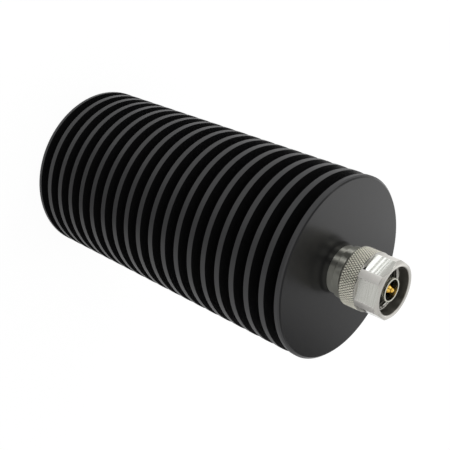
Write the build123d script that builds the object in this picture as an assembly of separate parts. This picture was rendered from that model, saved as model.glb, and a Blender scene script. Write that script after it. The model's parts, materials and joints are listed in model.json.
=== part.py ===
from build123d import *
from math import exp, sqrt
import os

# A dry coaxial dummy load: a turned heat sink that stands on its plain end, with a plug on top.
# Millimetres, +Z up, origin in the middle of the plain end. Everything turned is about Z.

# Heat sink: a row of equal round fins on a core, bored from the plug's end
fin_count = 20
fin_radius = 31.5
fin_thickness = 2.0
fin_gap = 4.25
core_radius = 16.0
rim_chamfer = 0.8

# Plug shell: barrel inside the nut, neck on the heat sink's face, spigot inside the heat sink
barrel_radius = 7.3
barrel_length = 7.0
neck_step = 0.9
neck_length = 2.1
neck_overhang = 0.2
spigot_length = 14.0
shell_edge = 0.2

# Coaxial line, in air between the plastic beads
impedance = 50.0
air_line_constant = 59.96
bead_permittivity = 2.05
line_radius = 3.5
contact_wall = 0.5
contact_root_step = 0.25
contact_reach = 10.0
contact_depth = 5.1
contact_edge = 0.12
front_bead_thickness = 2.5
rear_bead_thickness = 2.5
rear_bead_step = 1.1
retainer_thickness = 1.5

# Centre pin's nose, and the socket at its other end
nose_radius = 0.8
nose_taper = 1.3
pin_reach = 0.6
pin_above_bead = 4.6
socket_depth = 3.2
socket_slot = 0.3
stub_radius = 0.6
stub_clearance = 0.05
stub_end_gap = 0.3

# Coupling nut: skirt, cone, knurled collar, hexagon with turned corners
nut_float = 0.3
skirt_wall = 1.52
skirt_length = 2.5
skirt_edge = 0.25
nut_wall = 2.0
knurl_depth = 0.32
collar_length = 7.1
collar_rim = 0.4
flat_depth = 0.72
hex_length = 8.1
mouth_depth = 3.8
mouth_step = 0.55
mouth_lip = 0.3
mouth_face = 0.85
thread_clearance = 0.15
nut_clocking = 24.0

# Snap ring that holds the nut on the shell, and the ring's grooves
ring_thickness = 1.0
ring_stand = 0.65
ring_seat_depth = 0.7
ring_land = 1.1
ring_play = 0.1
nut_groove_play = 0.2
nut_groove_clearance = 0.15
ring_opening = 3.0

# Seals
gasket_thickness = 1.0
gasket_margin = 0.4
gasket_gap = 0.12
seal_section = 0.6
seal_groove_play = 0.2
seal_setback = 0.8

# Load cartridge: a half-round carrier and its half-round cover, clamped behind the shell
cartridge_length = 60.0
split_drop = 1.6
entry_margin = 1.0
channel_roof = 3.2
channel_end_gap = 2.0

# Resistor chip on the carrier, its lid, its lead and the launch pin that meets the lead
chip_width = 5.6
chip_length = 11.0
chip_thickness = 1.0
chip_side_gap = 0.4
chip_setback = 3.0
lid_width = 4.6
lid_length = 6.0
lid_thickness = 1.0
lid_gap = 0.8
lead_width = 1.5
lead_thickness = 0.2
lead_on_chip = 3.0
lead_under_pin = 2.5
launch_step = 2.0
launch_tail_radius = 1.0
launch_tail_length = 4.5

# Screws and dowels that hold the cartridge together
screw_radius = 0.8
screw_head_radius = 1.4
screw_head_height = 1.5
screw_socket_flats = 1.3
screw_socket_depth = 0.8
screw_bite = 3.2
screw_sink = 1.0
screw_wall = 0.7
screw_end_margin = 10.0
dowel_radius = 1.0
dowel_half_length = 3.0
dowel_end_margin = 6.0

# Disc springs at the floor of the bore
spring_count = 2
spring_hole_radius = 4.1
spring_thickness = 0.5
spring_dish = 0.35
spring_margin = 0.3

# Grub screws that lock the spigot, in the second gap from the plug
grub_gap_number = 2
grub_radius = 1.5
grub_length = 5.0
grub_socket_flats = 1.5
grub_socket_depth = 1.6
grub_angles = (30.0, 150.0)

# Clearances
slide_clearance = 0.08
fit_clearance = 0.02
cut_over = 1.0

# Radii worked out from the sizes above
neck_radius = barrel_radius + neck_step
bore_radius = neck_radius - neck_overhang
spigot_radius = bore_radius - fit_clearance
cartridge_radius = bore_radius - fit_clearance
contact_radius = line_radius + contact_wall
root_radius = contact_radius + contact_root_step
conductor_radius = line_radius / exp(impedance / air_line_constant)
rear_bead_radius = line_radius + rear_bead_step
bead_ratio = exp(impedance * sqrt(bead_permittivity) / air_line_constant)
front_waist_radius = root_radius / bead_ratio
rear_waist_radius = rear_bead_radius / bead_ratio
nut_bore_radius = barrel_radius + slide_clearance
skirt_radius = nut_bore_radius + skirt_wall
thread_radius = barrel_radius + thread_clearance
mouth_radius = thread_radius + mouth_step
nut_radius = mouth_radius + nut_wall
knurl_root = nut_radius - knurl_depth
nut_face_radius = mouth_radius + mouth_lip + mouth_face
ring_radius = barrel_radius + ring_stand
ring_seat_radius = barrel_radius - ring_seat_depth
seal_groove_radius = bore_radius - 2 * seal_section - 2 * fit_clearance

# Heights worked out from the sizes above
fin_pitch = fin_thickness + fin_gap
face_z = fin_thickness + (fin_count - 1) * fin_pitch
neck_top = face_z + neck_length
barrel_top = neck_top + barrel_length
gasket_top = barrel_top + gasket_thickness
spigot_bottom = face_z - spigot_length
contact_top = barrel_top + contact_reach
contact_bottom = barrel_top - contact_depth
front_bead_bottom = contact_bottom - front_bead_thickness
rear_bead_bottom = spigot_bottom + retainer_thickness
rear_bead_top = rear_bead_bottom + rear_bead_thickness
pin_top = contact_top + pin_reach
pin_bottom = rear_bead_top + pin_above_bead
nut_bottom = neck_top + nut_float
skirt_top = nut_bottom + skirt_length
cone_top = skirt_top + knurl_root - skirt_radius
hex_bottom = skirt_top + collar_length
nut_top = hex_bottom + hex_length
mouth_floor = nut_top - mouth_depth
ring_seat_top = barrel_top - ring_land
ring_seat_bottom = ring_seat_top - ring_thickness - ring_play
ring_bottom = ring_seat_bottom + ring_play / 2
ring_top = ring_bottom + ring_thickness
seal_groove_top = face_z - seal_setback
seal_groove_bottom = seal_groove_top - 2 * seal_section - seal_groove_play
cartridge_bottom = spigot_bottom - cartridge_length
spring_height = spring_thickness + spring_dish
bore_floor = cartridge_bottom - spring_count * spring_height
launch_tail_top = spigot_bottom - launch_step
launch_tail_bottom = launch_tail_top - launch_tail_length
entry_bottom = launch_tail_top - entry_margin
chip_top = entry_bottom - chip_setback
channel_bottom = chip_top - chip_length - channel_end_gap
lid_top = chip_top - lead_on_chip - lid_gap

# Depths across the cartridge, measured along Y from the axis
chip_y = -split_drop
lead_y = chip_y + chip_thickness
launch_flat_y = lead_y + lead_thickness
channel_half_width = chip_width / 2 + chip_side_gap
screw_offset = channel_half_width + screw_wall + screw_head_radius
screw_head_edge = sqrt(cartridge_radius ** 2 - (screw_offset + screw_head_radius) ** 2)
screw_web = screw_head_edge + split_drop - screw_head_height - screw_sink


def turned(*corners):
    outline = Polyline(*[(radius, 0, height) for radius, height in corners], close=True)
    return revolve(make_face(outline), Axis.Z)


def rod(radius, low, high):
    return Pos(0, 0, low) * Cylinder(radius, high - low, align=(Align.CENTER, Align.CENTER, Align.MIN))


def ring(outer, inner, low, high):
    return turned((inner, low), (outer, low), (outer, high), (inner, high))


def block(width, y_low, y_high, z_low, z_high):
    depth = y_high - y_low
    height = z_high - z_low
    middle = Pos(0, (y_low + y_high) / 2, (z_low + z_high) / 2)
    return middle * Box(width, depth, height)


# The grub screws and their holes point at the axis, level with the middle of one fin gap
def grub_places():
    height = face_z - grub_gap_number * fin_pitch + fin_gap / 2
    return [Pos(0, 0, height) * Rot(0, 0, angle) * Rot(0, 90, 0) for angle in grub_angles]


# Fins, core and bore are one turned piece; the two end rims are chamfered
def heatsink():
    blank = rod(fin_radius, 0, face_z)
    blank = chamfer(blank.edges().filter_by(GeomType.CIRCLE), rim_chamfer)
    for gap in range(fin_count - 1):
        low = fin_thickness + gap * fin_pitch
        blank -= ring(fin_radius + cut_over, core_radius, low, low + fin_gap)
    blank -= rod(bore_radius, bore_floor, face_z + cut_over)
    for place in grub_places():
        blank -= place * rod(grub_radius + fit_clearance, 0, core_radius + cut_over)
    return blank


# Neck, barrel and spigot are one turned piece, bored through for the line
def connector_shell():
    counterbore = root_radius + fit_clearance
    return turned(
        (rear_bead_radius, spigot_bottom),
        (spigot_radius, spigot_bottom),
        (spigot_radius, seal_groove_bottom),
        (seal_groove_radius, seal_groove_bottom),
        (seal_groove_radius, seal_groove_top),
        (spigot_radius, seal_groove_top),
        (spigot_radius, face_z),
        (neck_radius, face_z),
        (neck_radius, neck_top - shell_edge),
        (neck_radius - shell_edge, neck_top),
        (barrel_radius, neck_top),
        (barrel_radius, ring_seat_bottom),
        (ring_seat_radius, ring_seat_bottom),
        (ring_seat_radius, ring_seat_top),
        (barrel_radius, ring_seat_top),
        (barrel_radius, barrel_top - shell_edge),
        (barrel_radius - shell_edge, barrel_top),
        (counterbore, barrel_top),
        (counterbore, front_bead_bottom),
        (line_radius, front_bead_bottom),
        (line_radius, rear_bead_top),
        (rear_bead_radius, rear_bead_top),
    )


# Thin sleeve pressed into the shell by its thicker root, with its front edge eased on both sides
def outer_contact():
    return turned(
        (line_radius, contact_bottom),
        (root_radius, contact_bottom),
        (root_radius, gasket_top),
        (contact_radius, gasket_top),
        (contact_radius, contact_top - contact_edge),
        (contact_radius - contact_edge, contact_top),
        (line_radius + contact_edge, contact_top),
        (line_radius, contact_top - contact_edge),
    )


# Turned outside and inside, then milled to a hexagon in front of the knurled collar
def coupling_nut():
    groove_radius = ring_radius + nut_groove_clearance
    nut = turned(
        (nut_bore_radius, nut_bottom),
        (skirt_radius - skirt_edge, nut_bottom),
        (skirt_radius, nut_bottom + skirt_edge),
        (skirt_radius, skirt_top),
        (knurl_root, cone_top),
        (knurl_root, hex_bottom - collar_rim),
        (nut_radius, hex_bottom - collar_rim),
        (nut_radius, nut_top - nut_radius + nut_face_radius),
        (nut_face_radius, nut_top),
        (mouth_radius + mouth_lip, nut_top),
        (mouth_radius, nut_top - mouth_lip),
        (mouth_radius, mouth_floor),
        (thread_radius, mouth_floor - mouth_step),
        (thread_radius, ring_top + nut_groove_play),
        (groove_radius, ring_top + nut_groove_play),
        (groove_radius, ring_bottom - nut_groove_play),
        (nut_bore_radius, ring_bottom - nut_groove_play),
    )
    hexagon = RegularPolygon(nut_radius - flat_depth, 6, major_radius=False, rotation=nut_clocking)
    around = Circle(nut_radius + cut_over) - hexagon
    nut -= extrude(Pos(0, 0, hex_bottom) * around, hex_length + cut_over)
    return nut


def nut_snap_ring():
    whole = ring(ring_radius, ring_seat_radius + fit_clearance, ring_bottom, ring_top)
    opening = block(ring_opening, 0, ring_radius + cut_over, ring_bottom - cut_over, ring_top + cut_over)
    return whole - opening


def mating_gasket():
    return ring(barrel_radius - gasket_margin, root_radius + gasket_gap, barrel_top, gasket_top)


# Stepped nose in front, a waist for the bead, and four sprung fingers behind
def centre_pin():
    shoulder = pin_top - nose_radius - nose_taper
    body = turned(
        (0, pin_bottom),
        (conductor_radius, pin_bottom),
        (conductor_radius, front_bead_bottom),
        (front_waist_radius, front_bead_bottom),
        (front_waist_radius, contact_bottom),
        (conductor_radius, contact_bottom),
        (conductor_radius, shoulder),
        (nose_radius, shoulder + nose_taper),
        (0, shoulder + nose_taper),
    )
    body += Pos(0, 0, shoulder + nose_taper) * Sphere(nose_radius)
    body -= rod(stub_radius + stub_clearance, pin_bottom - cut_over, pin_bottom + socket_depth)
    for angle in (0, 90):
        slot = block(socket_slot, -conductor_radius - cut_over, conductor_radius + cut_over,
                     pin_bottom - cut_over, pin_bottom + socket_depth)
        body -= Rot(0, 0, angle) * slot
    return body


def front_bead():
    return ring(root_radius, front_waist_radius + fit_clearance, front_bead_bottom, contact_bottom)


# Carries the line from the plug to the chip; its tail is milled flat to sit on the lead
def launch_pin():
    body_top = pin_bottom - stub_end_gap
    stub_top = pin_bottom + socket_depth - stub_end_gap
    pin = turned(
        (0, launch_tail_top),
        (conductor_radius, launch_tail_top),
        (conductor_radius, rear_bead_bottom),
        (rear_waist_radius, rear_bead_bottom),
        (rear_waist_radius, rear_bead_top),
        (conductor_radius, rear_bead_top),
        (conductor_radius, body_top),
        (stub_radius, body_top),
        (stub_radius, stub_top),
        (0, stub_top),
    )
    pin += rod(launch_tail_radius, launch_tail_bottom, launch_tail_top)
    under = block(2 * conductor_radius, -conductor_radius - cut_over, launch_flat_y,
                  launch_tail_bottom - cut_over, launch_tail_top)
    return pin - under


def rear_bead():
    hole = rear_waist_radius + fit_clearance
    return ring(rear_bead_radius - fit_clearance, hole, rear_bead_bottom, rear_bead_top)


def bead_retainer():
    return ring(rear_bead_radius - fit_clearance, line_radius, spigot_bottom, rear_bead_bottom)


def neck_seal():
    section_middle = seal_groove_radius + fit_clearance + seal_section
    middle_z = (seal_groove_bottom + seal_groove_top) / 2
    return Pos(0, 0, middle_z) * Torus(section_middle, seal_section)


# Full round cartridge with the coaxial entry, before it is split into carrier and cover
def cartridge_round():
    whole = rod(cartridge_radius, cartridge_bottom, spigot_bottom)
    return whole - rod(line_radius, entry_bottom, spigot_bottom + cut_over)


def screw_places():
    places = []
    for setback in (screw_end_margin, cartridge_length - screw_end_margin):
        for side in (-screw_offset, screw_offset):
            places.append(Pos(side, -split_drop, spigot_bottom - setback) * Rot(-90, 0, 0))
    return places


def dowel_places():
    setbacks = (cartridge_length / 2, cartridge_length - dowel_end_margin)
    return [Pos(0, -split_drop, spigot_bottom - setback) * Rot(-90, 0, 0) for setback in setbacks]


def chip_carrier():
    below = block(4 * bore_radius, -2 * bore_radius, -split_drop, cartridge_bottom, spigot_bottom)
    carrier = cartridge_round() & below
    for place in screw_places():
        carrier -= place * rod(screw_radius + fit_clearance, -screw_bite - fit_clearance, cut_over)
    for place in dowel_places():
        carrier -= place * rod(dowel_radius + fit_clearance, -dowel_half_length, cut_over)
    return carrier


def carrier_cover():
    above = block(4 * bore_radius, -split_drop, 2 * bore_radius, cartridge_bottom, spigot_bottom)
    cover = cartridge_round() & above
    cover -= block(2 * channel_half_width, -split_drop, channel_roof, channel_bottom, entry_bottom)
    for place in screw_places():
        cover -= place * rod(screw_radius + fit_clearance, -cut_over, screw_web + cut_over)
        cover -= place * rod(screw_head_radius + fit_clearance, screw_web, bore_radius)
    for place in dowel_places():
        cover -= place * rod(dowel_radius + fit_clearance, -cut_over, dowel_half_length)
    return cover


# Cap screws with a hexagon socket, sunk below the round of the cover
def cover_screws():
    screw = rod(screw_radius, -screw_bite, screw_web)
    head_top = screw_web + screw_head_height
    screw += rod(screw_head_radius, screw_web, head_top)
    key = RegularPolygon(screw_socket_flats / 2, 6, major_radius=False)
    screw -= extrude(Pos(0, 0, head_top - screw_socket_depth) * key, screw_socket_depth + cut_over)
    return Compound([place * screw for place in screw_places()])


def carrier_dowels():
    half = dowel_half_length - fit_clearance
    return Compound([place * rod(dowel_radius, -half, half) for place in dowel_places()])


def chip_substrate():
    return block(chip_width, chip_y, lead_y, chip_top - chip_length, chip_top)


def chip_lid():
    return block(lid_width, lead_y, lead_y + lid_thickness, lid_top - lid_length, lid_top)


# Flat strip soldered to the chip's pad and to the underside of the launch pin's tail
def input_lead():
    tip = launch_tail_bottom + lead_under_pin
    return block(lead_width, lead_y, launch_flat_y, chip_top - lead_on_chip, tip)


# Dished washers, stacked mouth to mouth so that they push the cartridge against the shell
def disc_springs():
    springs = []
    for number in range(spring_count):
        low = bore_floor + number * spring_height
        rim = low if number % 2 == 0 else low + spring_dish
        eye = low + spring_dish if number % 2 == 0 else low
        springs.append(turned(
            (spring_hole_radius, eye),
            (bore_radius - spring_margin, rim),
            (bore_radius - spring_margin, rim + spring_thickness),
            (spring_hole_radius, eye + spring_thickness),
        ))
    return Compound(springs)


def lock_grub_screws():
    low = bore_radius
    high = low + grub_length
    key = RegularPolygon(grub_socket_flats / 2, 6, major_radius=False)
    screw = rod(grub_radius, low, high)
    screw -= extrude(Pos(0, 0, high - grub_socket_depth) * key, grub_socket_depth + cut_over)
    return Compound([place * screw for place in grub_places()])


pieces = [
    heatsink,
    connector_shell,
    outer_contact,
    coupling_nut,
    nut_snap_ring,
    mating_gasket,
    centre_pin,
    front_bead,
    launch_pin,
    rear_bead,
    bead_retainer,
    neck_seal,
    chip_carrier,
    carrier_cover,
    cover_screws,
    carrier_dowels,
    chip_substrate,
    chip_lid,
    input_lead,
    disc_springs,
    lock_grub_screws,
]

os.makedirs("parts", exist_ok=True)
for piece in pieces:
    export_step(piece(), f"parts/{piece.__name__}.step")
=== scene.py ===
import json
import math

import bpy
from mathutils import Matrix, Quaternion, Vector

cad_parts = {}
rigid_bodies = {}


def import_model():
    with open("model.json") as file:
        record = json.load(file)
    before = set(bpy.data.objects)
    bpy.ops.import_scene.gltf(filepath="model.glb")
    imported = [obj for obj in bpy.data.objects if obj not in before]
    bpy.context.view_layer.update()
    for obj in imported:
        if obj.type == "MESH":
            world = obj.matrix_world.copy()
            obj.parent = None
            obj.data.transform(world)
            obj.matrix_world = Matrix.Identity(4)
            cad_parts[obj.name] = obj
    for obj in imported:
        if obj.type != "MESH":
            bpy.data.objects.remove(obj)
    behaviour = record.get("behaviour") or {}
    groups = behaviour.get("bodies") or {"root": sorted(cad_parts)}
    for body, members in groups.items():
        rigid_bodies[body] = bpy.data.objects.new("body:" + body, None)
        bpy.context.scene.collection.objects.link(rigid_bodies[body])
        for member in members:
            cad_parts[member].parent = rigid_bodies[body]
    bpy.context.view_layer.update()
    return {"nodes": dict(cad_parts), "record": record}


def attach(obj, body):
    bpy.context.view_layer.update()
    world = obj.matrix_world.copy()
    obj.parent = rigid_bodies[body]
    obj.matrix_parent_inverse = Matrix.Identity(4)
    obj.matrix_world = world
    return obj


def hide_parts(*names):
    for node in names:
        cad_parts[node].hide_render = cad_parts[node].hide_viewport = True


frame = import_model()
nodes = frame["nodes"]
mm = 0.001
print("frame loaded:", len(nodes), "nodes")


# Selecting and modelling

def activate(piece):
    bpy.ops.object.select_all(action="DESELECT")
    piece.select_set(True)
    bpy.context.view_layer.objects.active = piece
    return piece


def applyModifiers(piece):
    activate(piece)
    for modifier in list(piece.modifiers):
        bpy.ops.object.modifier_apply(modifier=modifier.name)


def applyPlace():
    bpy.ops.object.transform_apply(location=True, rotation=True, scale=True)


# A copy of a CAD node, merged where its corners meet and with its flat faces joined

merging = {
    "distance": 0.002 * mm,
    "flatWithin": math.radians(0.3),
}


def copyOfNode(nodeName, pieceName):
    activate(nodes[nodeName])
    bpy.ops.object.duplicate()
    piece = bpy.context.view_layer.objects.active
    piece.name = pieceName
    piece.parent = None
    for tag in list(piece.keys()):
        del piece[tag]
    bpy.ops.mesh.customdata_custom_splitnormals_clear()
    bpy.ops.object.mode_set(mode="EDIT")
    bpy.ops.mesh.select_all(action="SELECT")
    bpy.ops.mesh.remove_doubles(threshold=merging["distance"])
    bpy.ops.mesh.dissolve_limited(angle_limit=merging["flatWithin"])
    bpy.ops.object.mode_set(mode="OBJECT")
    return piece


# Camera

view = {
    "place": (0.00174, -0.24825, 0.26237),
    "tilt": 52.175,        # degrees from straight down
    "roll": 113.167,       # degrees, the photograph has the part lying down
    "lens": 70.162,        # mm
    "sensor": 36,          # mm
    "nearest": 0.01,       # m, nothing nearer is drawn
}


def makeCamera():
    data = bpy.data.cameras.new("camera")
    data.lens = view["lens"]
    data.sensor_width = view["sensor"]
    data.clip_start = view["nearest"]
    camera = bpy.data.objects.new("camera", data)
    bpy.context.scene.collection.objects.link(camera)
    tilt = Matrix.Rotation(math.radians(view["tilt"]), 4, "X")
    roll = Matrix.Rotation(math.radians(view["roll"]), 4, "Z")
    camera.matrix_world = Matrix.Translation(view["place"]) @ (tilt @ roll)
    bpy.context.scene.camera = camera


# Nodes of a shader

def addNode(tree, kind, at=(0, 0), **settings):
    node = tree.nodes.new(kind)
    node.location = at
    for name, value in settings.items():
        setattr(node, name, value)
    return node


def setInputs(node, values):
    for label, value in values.items():
        node.inputs[label].default_value = value


def startGroup(name, inputs, outputs):
    group = bpy.data.node_groups.new(name, "ShaderNodeTree")
    for label, kind, value in inputs:
        socket = group.interface.new_socket(label, in_out="INPUT", socket_type=kind)
        if value is not None:
            socket.default_value = value
    for label, kind in outputs:
        group.interface.new_socket(label, in_out="OUTPUT", socket_type=kind)
    return group, addNode(group, "NodeGroupInput", (-900, 0)), addNode(group, "NodeGroupOutput", (700, 0))


# Effects that the finishes share

noises = {
    "broadCut": {"Scale": 0.25, "Detail": 2.0},
    "fineCut": {"Scale": 1.0, "Detail": 3.0, "Roughness": 0.65},
    "grain": {"Detail": 4.0, "Roughness": 0.6},
    "handling": {"Detail": 5.0, "Roughness": 0.55, "Distortion": 0.4},
}

# What part of a noise is spread over the whole of a mask
spreads = {
    "grain": {"From Min": 0.3, "From Max": 0.7},
    "handling": {"From Min": 0.4, "From Max": 0.65},
}


def addNoise(tree, name, at):
    noise = addNode(tree, "ShaderNodeTexNoise", at)
    setInputs(noise, noises[name])
    return noise


def heightOf(tree, vector):
    split = addNode(tree, "ShaderNodeSeparateXYZ", (-600, -100))
    tree.links.new(vector, split.inputs[0])
    return split.outputs["Z"]


def radiusOf(tree, vector):
    flat = addNode(tree, "ShaderNodeVectorMath", (-600, 100), operation="MULTIPLY")
    flat.inputs[1].default_value = (1, 1, 0)
    radius = addNode(tree, "ShaderNodeVectorMath", (-400, 100), operation="LENGTH")
    tree.links.new(vector, flat.inputs[0])
    tree.links.new(flat.outputs[0], radius.inputs[0])
    return radius.outputs["Value"]


# Marks that a lathe leaves: they change along the radius and the height, and not round the axis
def makeLatheMarks():
    group, given, result = startGroup(
        "latheMarks",
        [("Vector", "NodeSocketVector", None), ("Scale", "NodeSocketFloat", 3000.0)],
        [("Tone", "NodeSocketFloat"), ("Height", "NodeSocketFloat")],
    )
    section = addNode(group, "ShaderNodeCombineXYZ", (-220, 0))
    sized = addNode(group, "ShaderNodeVectorMath", (-60, 0), operation="SCALE")
    broad = addNoise(group, "broadCut", (120, 120))
    fine = addNoise(group, "fineCut", (120, -140))
    both = addNode(group, "ShaderNodeMix", (380, 60))
    link = group.links.new
    link(radiusOf(group, given.outputs["Vector"]), section.inputs["X"])
    link(heightOf(group, given.outputs["Vector"]), section.inputs["Z"])
    link(section.outputs[0], sized.inputs[0])
    link(given.outputs["Scale"], sized.inputs["Scale"])
    link(sized.outputs[0], broad.inputs["Vector"])
    link(sized.outputs[0], fine.inputs["Vector"])
    link(broad.outputs["Fac"], both.inputs["A"])
    link(fine.outputs["Fac"], both.inputs["B"])
    link(both.outputs["Result"], result.inputs["Tone"])
    link(fine.outputs["Fac"], result.inputs["Height"])
    return group


# An even grain, stretched by the Stretch vector into brush marks
def makeSurfaceGrain():
    group, given, result = startGroup(
        "surfaceGrain",
        [
            ("Vector", "NodeSocketVector", None),
            ("Stretch", "NodeSocketVector", (1.0, 1.0, 1.0)),
            ("Scale", "NodeSocketFloat", 6000.0),
        ],
        [("Tone", "NodeSocketFloat"), ("Height", "NodeSocketFloat")],
    )
    stretched = addNode(group, "ShaderNodeVectorMath", (-500, 0), operation="MULTIPLY")
    grain = addNoise(group, "grain", (-200, 0))
    spread = addNode(group, "ShaderNodeMapRange", (100, 100))
    setInputs(spread, spreads["grain"])
    link = group.links.new
    link(given.outputs["Vector"], stretched.inputs[0])
    link(given.outputs["Stretch"], stretched.inputs[1])
    link(stretched.outputs[0], grain.inputs["Vector"])
    link(given.outputs["Scale"], grain.inputs["Scale"])
    link(grain.outputs["Fac"], spread.inputs["Value"])
    link(spread.outputs["Result"], result.inputs["Tone"])
    link(grain.outputs["Fac"], result.inputs["Height"])
    return group


# Wide soft patches where hands and dust have changed the gloss
def makeHandling():
    group, given, result = startGroup(
        "handling",
        [("Vector", "NodeSocketVector", None), ("Scale", "NodeSocketFloat", 90.0)],
        [("Mask", "NodeSocketFloat")],
    )
    patches = addNoise(group, "handling", (-300, 0))
    spread = addNode(group, "ShaderNodeMapRange", (0, 0), interpolation_type="SMOOTHSTEP")
    setInputs(spread, spreads["handling"])
    link = group.links.new
    link(given.outputs["Vector"], patches.inputs["Vector"])
    link(given.outputs["Scale"], patches.inputs["Scale"])
    link(patches.outputs["Fac"], spread.inputs["Value"])
    link(spread.outputs["Result"], result.inputs["Mask"])
    return group


# Rises softly from nothing to one between two limits of what is measured: a radius or a height
def makeMask(name, measured):
    group, given, result = startGroup(
        name,
        [
            ("Vector", "NodeSocketVector", None),
            ("Low", "NodeSocketFloat", 0.0),
            ("High", "NodeSocketFloat", 1 * mm),
        ],
        [("Mask", "NodeSocketFloat")],
    )
    spread = addNode(group, "ShaderNodeMapRange", (0, 0), interpolation_type="SMOOTHSTEP")
    link = group.links.new
    link(measured(group, given.outputs["Vector"]), spread.inputs["Value"])
    link(given.outputs["Low"], spread.inputs["From Min"])
    link(given.outputs["High"], spread.inputs["From Max"])
    link(spread.outputs["Result"], result.inputs["Mask"])
    return group


effects = {
    "lathe": makeLatheMarks(),
    "grain": makeSurfaceGrain(),
    "handling": makeHandling(),
    "radius": makeMask("radiusMask", radiusOf),
    "height": makeMask("heightMask", heightOf),
}


# Starts a material: object coordinates, the shader, and a bump node that feeds it
def startMaterial(name):
    material = bpy.data.materials.new(name)
    material.use_nodes = True
    tree = material.node_tree
    tree.nodes.clear()
    place = addNode(tree, "ShaderNodeTexCoord", (-1200, 0))
    shader = addNode(tree, "ShaderNodeBsdfPrincipled", (500, 0))
    bump = addNode(tree, "ShaderNodeBump", (250, -300))
    out = addNode(tree, "ShaderNodeOutputMaterial", (800, 0))
    tree.links.new(bump.outputs["Normal"], shader.inputs["Normal"])
    tree.links.new(shader.outputs[0], out.inputs["Surface"])
    return material, tree, place.outputs["Object"], shader, bump


def addEffect(tree, name, vector, at, **values):
    node = addNode(tree, "ShaderNodeGroup", at)
    node.node_tree = effects[name]
    tree.links.new(vector, node.inputs["Vector"])
    setInputs(node, values)
    return node


def addMask(tree, name, vector, at, limits):
    return addEffect(tree, name, vector, at, Low=limits[0], High=limits[1]).outputs["Mask"]


# Joins two values by a sum, a product, or the larger of them
def addMath(tree, operation, first, second, at):
    joined = addNode(tree, "ShaderNodeMath", at, operation=operation)
    tree.links.new(first, joined.inputs[0])
    tree.links.new(second, joined.inputs[1])
    return joined.outputs[0]


# Each of the two is a plain colour, or the output of a node
def blendColours(tree, factor, first, second, at):
    blend = addNode(tree, "ShaderNodeMix", at, data_type="RGBA")
    tree.links.new(factor, blend.inputs["Factor"])
    for side, colour in (("A", first), ("B", second)):
        if isinstance(colour, tuple):
            blend.inputs[side].default_value = (*colour, 1.0)
        else:
            tree.links.new(colour, blend.inputs[side])
    return blend.outputs["Result"]


def spreadTo(tree, factor, low, high, at):
    spread = addNode(tree, "ShaderNodeMapRange", at)
    setInputs(spread, {"To Min": low, "To Max": high})
    tree.links.new(factor, spread.inputs["Value"])
    return spread.outputs["Result"]


def setRelief(bump, look):
    setInputs(bump, {"Strength": look["relief"], "Distance": look["reliefDepth"]})


# One outside the look's radius, and on the front from a smaller radius on, where the look has one; where it
# is nothing, the look's inside colour paints shade
def unshadedMask(tree, place, look):
    rims = addMask(tree, "radius", place, (-900, 400), look["within"])
    if "front" not in look:
        return rims
    edge = addMask(tree, "radius", place, (-900, 600), look["frontWithin"])
    front = addMask(tree, "height", place, (-900, 800), look["front"])
    chamfer = addMath(tree, "MULTIPLY", edge, front, (-650, 700))
    return addMath(tree, "MAXIMUM", chamfer, rims, (-450, 500))


# A turned or brushed metal: lathe marks or brush marks in its tone, gloss and relief
def metalFinish(name, look):
    material, tree, place, shader, bump = startMaterial(name)
    if "stretch" in look:
        marks = addEffect(tree, "grain", place, (-900, 0), Stretch=look["stretch"], Scale=look["markScale"])
    else:
        marks = addEffect(tree, "lathe", place, (-900, 0), Scale=look["markScale"])
    tone = marks.outputs["Tone"]
    patches = addEffect(tree, "handling", place, (-900, -400), Scale=look["patchScale"])
    colour = blendColours(tree, tone, look["dark"], look["light"], (-500, 200))
    if "within" in look:
        mask = unshadedMask(tree, place, look)
        # painted shade: below the look's radius the colour turns to the look's darker inside colour
        colour = blendColours(tree, mask, look["inside"], colour, (-200, 300))
    tree.links.new(colour, shader.inputs["Base Color"])
    cut = spreadTo(tree, tone, look["smooth"], look["rough"], (-500, -100))
    handled = spreadTo(tree, patches.outputs["Mask"], 0.0, look["patchRough"], (-500, -350))
    gloss = addMath(tree, "ADD", cut, handled, (-100, -150))
    if "insideGloss" in look:
        chosen = addNode(tree, "ShaderNodeMix", (150, -100))
        chosen.inputs["A"].default_value = look["insideGloss"]
        tree.links.new(mask, chosen.inputs["Factor"])
        tree.links.new(gloss, chosen.inputs["B"])
        gloss = chosen.outputs["Result"]
    tree.links.new(gloss, shader.inputs["Roughness"])
    tree.links.new(marks.outputs["Height"], bump.inputs["Height"])
    setRelief(bump, look)
    shader.inputs["Metallic"].default_value = look["metallic"]
    if "specular" in look:
        shader.inputs["Specular IOR Level"].default_value = look["specular"]
    if "grooved" in look:
        shader.inputs["Anisotropic"].default_value = look["grooved"]
        shader.inputs["Anisotropic Rotation"].default_value = look["glossTurn"]
        around = addNode(tree, "ShaderNodeTangent", (250, -500), direction_type="RADIAL", axis="Z")
        tree.links.new(around.outputs[0], shader.inputs["Tangent"])
    return material


# A matt or satin solid, such as plastic, rubber or ceramic, with an even grain
def grainFinish(name, look):
    material, tree, place, shader, bump = startMaterial(name)
    grain = addEffect(tree, "grain", place, (-900, 0), Scale=look["grainScale"])
    patches = addEffect(tree, "handling", place, (-900, -400), Scale=look["patchScale"])
    colour = blendColours(tree, patches.outputs["Mask"], look["dark"], look["light"], (-500, 200))
    gloss = spreadTo(tree, grain.outputs["Tone"], look["smooth"], look["rough"], (-500, -100))
    tree.links.new(colour, shader.inputs["Base Color"])
    tree.links.new(gloss, shader.inputs["Roughness"])
    tree.links.new(grain.outputs["Height"], bump.inputs["Height"])
    setRelief(bump, look)
    return material


# Finishes

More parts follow.
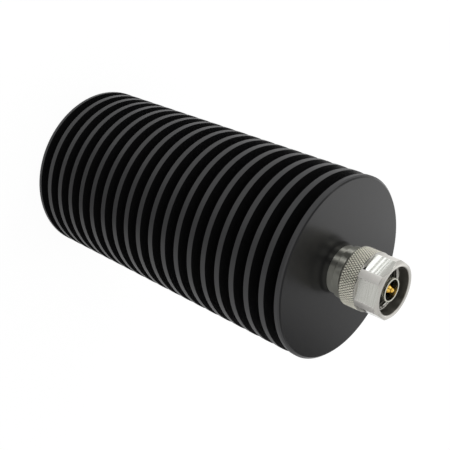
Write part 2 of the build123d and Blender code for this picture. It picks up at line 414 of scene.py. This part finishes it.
def makeBlackAnodised():
    return metalFinish("blackAnodised", {
        "dark": (0.048, 0.048, 0.049),
        "light": (0.066, 0.066, 0.068),
        "inside": (0.009, 0.009, 0.0095),           # painted shade: the front face and the gaps between the fins are much darker than the rims, standing in for the shade in the gaps
        "within": (31.38 * mm, 31.47 * mm),
        "frontWithin": (31.05 * mm, 31.13 * mm),    # the front face's chamfer, but for its inner edge
        "front": (118.8 * mm, 118.9 * mm),
        "insideGloss": 0.27,
        "markScale": 9000.0,
        "patchScale": 60.0,
        "smooth": 0.38,
        "rough": 0.46,
        "patchRough": 0.04,
        "specular": 0.2,
        "relief": 0.25,
        "reliefDepth": 0.004 * mm,
        "metallic": 0.0,
    })


turnedSteel = {
    "dark": (0.40, 0.39, 0.36),
    "light": (0.58, 0.565, 0.53),
    "markScale": 9000.0,
    "patchScale": 200.0,
    "smooth": 0.32,
    "rough": 0.42,
    "patchRough": 0.04,
    "grooved": 0.8,
    "glossTurn": 0.25,          # of a turn, so that a gloss spreads across the grooves
    "relief": 0.4,
    "reliefDepth": 0.003 * mm,
    "metallic": 1.0,
}


def makePassivatedSteel():
    return metalFinish("passivatedSteel", turnedSteel)


# Turned with a finer cut behind the knurl: it mirrors the black face under it
def makeFineSteel():
    return metalFinish("fineSteel", {
        **turnedSteel,
        "dark": (0.38, 0.38, 0.335),
        "light": (0.56, 0.56, 0.50),
        "markScale": 5000.0,
        "smooth": 0.26,
        "rough": 0.34,
        "grooved": 0.95,
    })


# The nut is of the same steel, darker in its mouth, where less light comes
def makeNutSteel():
    return metalFinish("nutSteel", {
        **turnedSteel,
        "inside": (0.16, 0.153, 0.132),
        "within": (8.06 * mm, 8.14 * mm),
    })


# The hexagon's corners are rubbed bright
def makeRubbedSteel():
    return metalFinish("rubbedSteel", {
        **turnedSteel,
        "dark": (0.70, 0.68, 0.64),
        "light": (0.85, 0.83, 0.79),
    })


# The step at the bottom of the nut's mouth is a rough cut, painted near white: painted light where the light
# falls into the mouth
def makeStepLightSteel():
    return metalFinish("stepLightSteel", {
        **turnedSteel,
        "dark": (0.86, 0.84, 0.79),
        "light": (0.98, 0.96, 0.91),
        "smooth": 0.62,
        "rough": 0.72,
    })


# Down in the knurl's grooves the steel is painted dark, as painted shade
def makeGrooveShadeSteel():
    return metalFinish("grooveShadeSteel", {
        **turnedSteel,
        "dark": (0.10, 0.097, 0.085),
        "light": (0.16, 0.155, 0.14),
    })


# A knurl's teeth are rubbed bright, and their near-white colour also paints in the highlights on them; down
# in the grooves the colour is painted dark, as shade
def makeKnurledSteel():
    return metalFinish("knurledSteel", {
        "dark": (0.90, 0.88, 0.78),
        "light": (1.0, 0.985, 0.90),
        "inside": (0.03, 0.029, 0.025),
        "within": (9.71 * mm, 9.87 * mm),
        "markScale": 9000.0,
        "patchScale": 200.0,
        "smooth": 0.52,
        "rough": 0.60,
        "patchRough": 0.06,
        "relief": 0.2,
        "reliefDepth": 0.002 * mm,
        "metallic": 1.0,
    })


# The same steel where a cutter has left it flat
milledSteel = {
    "dark": (0.41, 0.412, 0.38),
    "light": (0.56, 0.556, 0.52),
    "markScale": 2500.0,
    "patchScale": 250.0,
    "stretch": (0.06, 0.06, 1.0),
    "smooth": 0.12,
    "rough": 0.24,
    "patchRough": 0.02,
    "relief": 0.1,
    "reliefDepth": 0.001 * mm,
    "metallic": 1.0,
}


def makeMilledSteel():
    return metalFinish("milledSteel", milledSteel)


# One side is worn to a shine, and mirrors the blind
def makeWornSteel():
    return metalFinish("wornSteel", {
        **milledSteel,
        "dark": (0.39, 0.392, 0.362),
        "light": (0.48, 0.477, 0.445),
        "smooth": 0.02,
        "rough": 0.04,
        "patchRough": 0.005,
    })


def makeSilverPlate():
    return metalFinish("silverPlate", {
        "dark": (0.44, 0.43, 0.37),
        "light": (0.57, 0.56, 0.49),
        "markScale": 7000.0,
        "patchScale": 250.0,
        "smooth": 0.16,
        "rough": 0.26,
        "patchRough": 0.06,
        "relief": 0.2,
        "reliefDepth": 0.002 * mm,
        "metallic": 1.0,
    })


def makeGoldPlate():
    return metalFinish("goldPlate", {
        "dark": (0.58, 0.33, 0.04),
        "light": (0.90, 0.60, 0.14),
        "markScale": 9000.0,
        "patchScale": 300.0,
        "smooth": 0.10,
        "rough": 0.18,
        "patchRough": 0.06,
        "relief": 0.2,
        "reliefDepth": 0.002 * mm,
        "metallic": 1.0,
    })


def makeSpringAlloy():
    return metalFinish("springAlloy", {
        "dark": (0.36, 0.34, 0.31),
        "light": (0.52, 0.50, 0.46),
        "markScale": 5000.0,
        "patchScale": 220.0,
        "smooth": 0.26,
        "rough": 0.38,
        "patchRough": 0.08,
        "relief": 0.25,
        "reliefDepth": 0.003 * mm,
        "metallic": 1.0,
    })


def makeDarkScrews():
    return metalFinish("darkScrews", {
        "dark": (0.045, 0.045, 0.048),
        "light": (0.1, 0.1, 0.105),
        "markScale": 6000.0,
        "patchScale": 400.0,
        "smooth": 0.34,
        "rough": 0.46,
        "patchRough": 0.1,
        "relief": 0.3,
        "reliefDepth": 0.004 * mm,
        "metallic": 0.9,
    })


def makeBareAluminium():
    return metalFinish("bareAluminium", {
        "dark": (0.60, 0.60, 0.62),
        "light": (0.76, 0.76, 0.78),
        "markScale": 4000.0,
        "patchScale": 120.0,
        "stretch": (1.0, 1.0, 0.06),
        "smooth": 0.28,
        "rough": 0.42,
        "patchRough": 0.06,
        "relief": 0.3,
        "reliefDepth": 0.004 * mm,
        "metallic": 1.0,
    })


def makeSilicone():
    return grainFinish("silicone", {
        "dark": (0.030, 0.029, 0.028),
        "light": (0.050, 0.048, 0.047),
        "grainScale": 9000.0,
        "patchScale": 300.0,
        "smooth": 0.45,
        "rough": 0.6,
        "relief": 0.3,
        "reliefDepth": 0.006 * mm,
    })


def makeWhitePlastic():
    return grainFinish("whitePlastic", {
        "dark": (0.78, 0.78, 0.75),
        "light": (0.86, 0.86, 0.84),
        "grainScale": 8000.0,
        "patchScale": 250.0,
        "smooth": 0.3,
        "rough": 0.45,
        "relief": 0.2,
        "reliefDepth": 0.004 * mm,
    })


def makePaleCeramic():
    return grainFinish("paleCeramic", {
        "dark": (0.76, 0.74, 0.69),
        "light": (0.85, 0.83, 0.79),
        "grainScale": 14000.0,
        "patchScale": 400.0,
        "smooth": 0.5,
        "rough": 0.7,
        "relief": 0.35,
        "reliefDepth": 0.005 * mm,
    })


finishes = {
    "black_anodised": makeBlackAnodised(),
    "passivated_steel": makePassivatedSteel(),
    "nut_steel": makeNutSteel(),
    "fine_steel": makeFineSteel(),
    "milled_steel": makeMilledSteel(),
    "worn_steel": makeWornSteel(),
    "rubbed_steel": makeRubbedSteel(),
    "groove_shade_steel": makeGrooveShadeSteel(),
    "step_light_steel": makeStepLightSteel(),
    "knurled_steel": makeKnurledSteel(),
    "silver_plate": makeSilverPlate(),
    "gold_plate": makeGoldPlate(),
    "spring_alloy": makeSpringAlloy(),
    "dark_screws": makeDarkScrews(),
    "bare_aluminium": makeBareAluminium(),
    "silicone": makeSilicone(),
    "white_plastic": makeWhitePlastic(),
    "pale_ceramic": makePaleCeramic(),
}


def paint(piece, *slotNames):
    piece.data.materials.clear()
    for slotName in slotNames:
        piece.data.materials.append(finishes[slotName])


def paintNodes():
    for subpart in frame["record"]["subparts"]:
        paint(nodes[subpart["node"]], subpart["material_slot"])
    paint(nodes["connector_shell"], "fine_steel")
    print("finishes made:", len(finishes))


# Coupling nut: the node with its edges broken, its inside thread and a finish for each kind of cut, with
# painted shade in the knurl's grooves and painted light on the step in its mouth

nut = {
    "edgeBreak": 0.07 * mm,
    "edgeSegments": 2,
    "edgeOver": math.radians(12),  # only edges sharper than this are broken
    "smoothUnder": math.radians(30),
    "flatWeight": 100,             # large faces shade flat up to their broken edges
    "threadPitch": 1.058 * mm,
    "threadCrest": 7.45 * mm,      # the bore that the CAD nut has
    "threadRoot": 7.94 * mm,
    "threadMouth": 0.71 * mm,      # width of the groove at the bore
    "threadFlat": 0.13 * mm,       # width of the groove's floor
    "threadStart": 128.1 * mm,     # in the snap ring's groove
    "threadEnd": 137.5 * mm,       # in the wide mouth
    "threadSteps": 96,
    "tapOver": 0.15 * mm,          # how far the tap reaches into the bore
    # which finish a face has, by the way it looks and its place
    "upright": 0.1,                # a normal's height, below which a wall stands along the axis
    "outside": 9 * mm,
    "flatArea": 20 * mm * mm,      # only the hexagon's sides are this large
    "wornSide": math.radians(234),
    "wornWithin": 0.9,             # cosine of the angle to the worn side
    "fineBelow": 126.3 * mm,       # the skirt and its cone
    "knurlTop": 132.3 * mm,
    "hexBottom": 132.8 * mm,
    "stepLean": 0.3,               # a normal's height, above which a face looks out of the mouth
    "stepBottom": 136.45 * mm,     # the step between the thread and the mouth's wall
    "stepTop": 137.1 * mm,
    "finishes": (
        "nut_steel", "milled_steel", "fine_steel", "groove_shade_steel", "rubbed_steel", "step_light_steel", "worn_steel",
    ),
}


# A helical tap, as long as the thread and open to air at both ends: a groove's section, screwed up the axis
def makeTap():
    inside = nut["threadCrest"] - nut["tapOver"]
    depth = nut["threadRoot"] - nut["threadCrest"]
    mouth = nut["threadMouth"] + nut["tapOver"] * (nut["threadMouth"] - nut["threadFlat"]) / depth
    length = nut["threadEnd"] - nut["threadStart"]
    turns = length / nut["threadPitch"]
    bpy.ops.object.select_all(action="DESELECT")
    bpy.ops.mesh.primitive_plane_add(size=1, rotation=(math.radians(90), 0, 0),
                                     location=((inside + nut["threadRoot"]) / 2, 0, nut["threadStart"]))
    tap = bpy.context.view_layer.objects.active
    tap.scale = (nut["threadRoot"] - inside, mouth, 1)
    applyPlace()
    bpy.ops.object.mode_set(mode="EDIT")
    bpy.ops.mesh.select_mode(type="VERT")
    bpy.ops.mesh.delete(type="ONLY_FACE")
    bpy.ops.mesh.select_all(action="DESELECT")
    bpy.ops.object.mode_set(mode="OBJECT")
    for corner in tap.data.vertices:
        corner.select = corner.co.x > nut["threadCrest"]
    bpy.ops.object.mode_set(mode="EDIT")
    bpy.ops.transform.resize(value=(1, 1, nut["threadFlat"] / mouth),
                             center_override=(nut["threadRoot"], 0, nut["threadStart"]))
    bpy.ops.object.mode_set(mode="OBJECT")
    screw = tap.modifiers.new("helix", "SCREW")
    screw.axis = "Z"
    screw.iterations = 1
    screw.angle = math.tau * turns
    screw.screw_offset = length
    screw.steps = screw.render_steps = round(nut["threadSteps"] * turns)
    screw.use_normal_calculate = True
    applyModifiers(tap)
    bpy.ops.object.mode_set(mode="EDIT")
    bpy.ops.mesh.select_mode(type="EDGE")
    bpy.ops.mesh.select_all(action="DESELECT")
    bpy.ops.mesh.select_non_manifold()
    bpy.ops.mesh.edge_face_add()
    bpy.ops.mesh.select_all(action="SELECT")
    bpy.ops.mesh.normals_make_consistent(inside=False)
    bpy.ops.object.mode_set(mode="OBJECT")
    return tap


# The cutter that made a face, and the wear on it, give the face its finish, but for the knurl's grooves,
# which get painted shade, and the step in the mouth, which gets painted light
def finishOfFace(face):
    upright = abs(face.normal.z) < nut["upright"]
    outside = face.center.xy.length > nut["outside"]
    height = face.center.z
    if upright and face.area > nut["flatArea"]:
        wornSide = Vector((math.cos(nut["wornSide"]), math.sin(nut["wornSide"])))
        worn = face.normal.xy.dot(wornSide) > nut["wornWithin"]
        return "worn_steel" if worn else "milled_steel"
    if height < nut["fineBelow"]:
        return "fine_steel"
    # painted shade down in the knurl's grooves
    if upright and outside and height < nut["knurlTop"]:
        return "groove_shade_steel"
    if upright and outside and height > nut["hexBottom"]:
        return "rubbed_steel"
    # painted light on the step in the mouth
    if face.normal.z > nut["stepLean"] and nut["stepBottom"] < height < nut["stepTop"]:
        return "step_light_steel"
    return "nut_steel"


def makeNutBody():
    piece = copyOfNode("coupling_nut", "nutBody")
    bevel = piece.modifiers.new("edges", "BEVEL")
    bevel.width = nut["edgeBreak"]
    bevel.segments = nut["edgeSegments"]
    bevel.limit_method = "ANGLE"
    bevel.angle_limit = nut["edgeOver"]
    applyModifiers(piece)
    tap = makeTap()
    cut = piece.modifiers.new("thread", "BOOLEAN")
    cut.operation = "DIFFERENCE"
    cut.solver = "EXACT"
    cut.object = tap
    applyModifiers(piece)
    bpy.data.objects.remove(tap)
    activate(piece)
    bpy.ops.object.shade_smooth_by_angle(angle=nut["smoothUnder"])
    flats = piece.modifiers.new("flats", "WEIGHTED_NORMAL")
    flats.weight = nut["flatWeight"]
    flats.keep_sharp = True
    applyModifiers(piece)
    paint(piece, *nut["finishes"])
    for face in piece.data.polygons:
        face.material_index = nut["finishes"].index(finishOfFace(face))
    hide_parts("coupling_nut")
    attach(piece, "nut")
    print("nut body:", len(piece.data.polygons), "faces")


# Diamond knurl on the collar: rows of teeth, each between two crossing pairs of grooves

knurl = {
    "lines": 68,                 # grooves round the collar, each way
    "rows": 8,                   # half periods from the band's start to its end
    "start": 126.42 * mm,
    "end": 132.36 * mm,
    "root": 9.64 * mm,           # just inside the collar's plain wall
    "crest": 9.99 * mm,
    "slope": 0.16 * mm,          # how far a tooth's side leans in
}


# One tooth with a rhombus for its base, its grooves' slopes for sides and a small flat on top
def makeTooth(name, row):
    across = math.pi * knurl["root"] / knurl["lines"]
    along = (knurl["end"] - knurl["start"]) / knurl["rows"]
    top = 1 - knurl["slope"] * math.hypot(across, along) / (across * along)
    height = knurl["start"] + row * along
    base = (knurl["root"], 0, height)
    bpy.ops.mesh.primitive_circle_add(vertices=4, radius=1, fill_type="NGON", location=base,
                                      rotation=(math.radians(90), 0, math.radians(90)))
    tooth = bpy.context.view_layer.objects.active
    tooth.name = name
    tooth.scale = (across, along, 1)
    applyPlace()
    bpy.ops.object.mode_set(mode="EDIT")
    bpy.ops.mesh.select_mode(type="FACE")
    bpy.ops.mesh.select_all(action="SELECT")
    bpy.ops.mesh.extrude_region_move(TRANSFORM_OT_translate={"value": (knurl["crest"] - knurl["root"], 0, 0)})
    bpy.ops.transform.resize(value=(1, top, top), center_override=(knurl["crest"], 0, height))
    bpy.ops.mesh.select_all(action="SELECT")
    bpy.ops.mesh.normals_make_consistent(inside=False)
    if row == 0:
        bpy.ops.mesh.bisect(plane_co=base, plane_no=(1, 0, -1), use_fill=True, clear_outer=True)
    if row == knurl["rows"]:
        bpy.ops.mesh.bisect(plane_co=base, plane_no=(0, 0, 1), use_fill=True, clear_outer=True)
    bpy.ops.object.mode_set(mode="OBJECT")
    return tooth


# Every other row stands half a pitch round from its neighbours
def makeKnurl():
    turn = math.tau / knurl["lines"]
    nextLine = bpy.data.objects.new("nextLine", None)
    bpy.context.scene.collection.objects.link(nextLine)
    nextLine.rotation_euler = (0, 0, turn)
    bpy.context.view_layer.update()
    teeth = [makeTooth("knurl", row) for row in range(knurl["rows"] + 1)]
    for row, tooth in enumerate(teeth):
        array = tooth.modifiers.new("round", "ARRAY")
        array.use_relative_offset = False
        array.use_object_offset = True
        array.offset_object = nextLine
        array.count = knurl["lines"]
        applyModifiers(tooth)
        tooth.rotation_euler = (0, 0, turn / 2 * (row % 2))
        applyPlace()
    bpy.data.objects.remove(nextLine)
    band = activate(teeth[0])
    for tooth in teeth:
        tooth.select_set(True)
    bpy.ops.object.join()
    paint(band, "knurled_steel")
    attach(band, "nut")
    print("knurl:", len(band.data.polygons), "faces")


# Room and floor

studio = {
    "floorSize": 6.0,
    "floorColour": (0.88, 0.88, 0.88),
    "floorWhite": 1.07,     # what the camera and the gloss see of the floor, before its shadow
    "shadowShare": 0.12,    # how much of the floor's look is its real shading
    "white": 1.0,           # what the camera and the gloss see of the room
    "fill": 0.55,           # what lights the object from the room
}


# One where the camera looks, or where a gloss or a glass passes the look on
def directLook(tree, at):
    path = addNode(tree, "ShaderNodeLightPath", at)
    seen = addMath(tree, "MAXIMUM", path.outputs["Is Camera Ray"], path.outputs["Is Glossy Ray"],
                   (at[0] + 200, at[1]))
    return addMath(tree, "MAXIMUM", seen, path.outputs["Is Transmission Ray"], (at[0] + 400, at[1]))


# The first shader for the light on the object, the second for what is looked at
def mixLooks(tree, factor, first, second, output):
    mix = addNode(tree, "ShaderNodeMixShader", (250, 0))
    out = addNode(tree, output, (450, 0))
    tree.links.new(factor, mix.inputs["Fac"])
    tree.links.new(first.outputs[0], mix.inputs[1])
    tree.links.new(second.outputs[0], mix.inputs[2])
    tree.links.new(mix.outputs[0], out.inputs["Surface"])


def makeWorld():
    world = bpy.data.worlds.new("studio")
    world.use_nodes = True
    bpy.context.scene.world = world
    tree = world.node_tree
    tree.nodes.clear()
    fill = addNode(tree, "ShaderNodeBackground", (0, 100))
    setInputs(fill, {"Color": (1, 1, 1, 1), "Strength": studio["fill"]})
    white = addNode(tree, "ShaderNodeBackground", (0, -100))
    setInputs(white, {"Color": (1, 1, 1, 1), "Strength": studio["white"]})
    mixLooks(tree, directLook(tree, (-700, 0)), fill, white, "ShaderNodeOutputWorld")


def makeFloor():
    bpy.ops.mesh.primitive_plane_add(size=studio["floorSize"])
    floor = bpy.context.view_layer.objects.active
    floor.name = "floor"
    material = bpy.data.materials.new("paleFloor")
    material.use_nodes = True
    tree = material.node_tree
    tree.nodes.clear()
    matt = addNode(tree, "ShaderNodeBsdfDiffuse", (0, 150))
    matt.inputs["Color"].default_value = (*studio["floorColour"], 1)
    white = addNode(tree, "ShaderNodeEmission", (0, -100))
    white.inputs["Strength"].default_value = studio["floorWhite"]
    share = addNode(tree, "ShaderNodeMath", (0, 350), operation="MULTIPLY")
    share.inputs[1].default_value = 1 - studio["shadowShare"]
    tree.links.new(directLook(tree, (-700, 300)), share.inputs[0])
    mixLooks(tree, share.outputs[0], matt, white, "ShaderNodeOutputMaterial")
    floor.data.materials.append(material)


# Black cards that only the gloss sees: they give bright metal its dark bands

cards = {
    "besideCamera": {"place": (0.065, -0.20, 0.075), "turn": -72, "slope": 24, "size": (0.38, 0.08)},
    "behind": {"place": (0.18, 0.45, 0.44), "turn": 68, "slope": 90, "size": (0.26, 0.24)},
    "onFloor": {"place": (0.39, 0.13, 0.003), "turn": 18, "slope": 0, "size": (0.36, 0.22)},
    "atCamera": {"place": (-0.06, -0.35, 0.27), "turn": -100, "slope": 90, "size": (0.28, 0.14)},
    "leftOfCamera": {"place": (-0.26, -0.15, 0.12), "turn": -150, "slope": 90, "size": (0.24, 0.14)},
}

blackCard = {
    "Base Color": (0.01, 0.01, 0.01, 1),
    "Roughness": 1.0,
}


def makeCards():
    material = bpy.data.materials.new("blackCard")
    material.use_nodes = True
    setInputs(material.node_tree.nodes["Principled BSDF"], blackCard)
    for name, card in cards.items():
        bpy.ops.mesh.primitive_plane_add(size=1)
        piece = bpy.context.view_layer.objects.active
        piece.name = name
        piece.scale = (*card["size"], 1)
        piece.rotation_euler = (0, -math.radians(card["slope"]), math.radians(card["turn"]))
        piece.location = card["place"]
        applyPlace()
        piece.data.materials.append(material)
        piece.visible_camera = False
        piece.visible_diffuse = False
        piece.visible_shadow = False


# Soft lamps

lamps = {
    "leftStrip": {"place": (-0.45, -0.03, 0.22), "aim": (0, 0, 0.11), "size": (0.12, 0.4), "power": 0.35},
    "frontStrip": {"place": (-0.24, -0.36, 0.16), "aim": (0, 0, 0.11), "size": (0.06, 0.3), "power": 0.12},
    "farBox": {"place": (-0.17, 0.52, 0.43), "aim": (0, 0, 0.12), "size": (0.28, 0.35), "power": 0.33},
}


def addAreaLamp(name, size, power):
    data = bpy.data.lights.new(name, "AREA")
    data.shape = "RECTANGLE"
    data.size, data.size_y = size
    data.energy = power
    light = bpy.data.objects.new(name, data)
    bpy.context.scene.collection.objects.link(light)
    light.visible_camera = False
    return light


def facingOf(lamp):
    toObject = Vector(lamp["aim"]) - Vector(lamp["place"])
    return toObject.to_track_quat("-Z", "Y")


def makeLamps():
    for name, lamp in lamps.items():
        light = addAreaLamp(name, lamp["size"], lamp["power"])
        light.location = lamp["place"]
        light.rotation_euler = facingOf(lamp).to_euler()


# A small bright window with a blind, which the hexagon's worn side mirrors

blind = {
    "place": (-0.1842, -0.0597, 0.0397),
    "aim": (-0.0055, -0.0075, 0.1368),
    "roll": -19.6,          # degrees, so that a slat's edge runs round the nut
    "length": 0.024,
    "tint": (0.93, 0.96, 1.0),
    # each slat from and to, in mm across the blind, and how bright it is
    "slats": [(-9.0, -5.6, 1.85), (-4.3, -2.3, 1.9), (-1.1, 0.0, 1.85), (1.0, 1.7, 1.7), (2.5, 2.9, 1.5)],
}


def makeBlind():
    facing = facingOf(blind) @ Quaternion((0, 0, 1), math.radians(blind["roll"]))
    for low, high, brightness in blind["slats"]:
        width = (high - low) * mm
        slat = addAreaLamp("slat", (blind["length"], width), brightness * math.pi * blind["length"] * width)
        slat.data.color = blind["tint"]
        slat.rotation_euler = facing.to_euler()
        slat.location = Vector(blind["place"]) + facing @ Vector((0, (low + high) / 2 * mm, 0))


makeCamera()
paintNodes()
makeNutBody()
makeKnurl()
makeWorld()
makeFloor()
makeCards()
makeLamps()
makeBlind()
bpy.context.scene.view_settings.view_transform = "Standard"
print("studio ready")
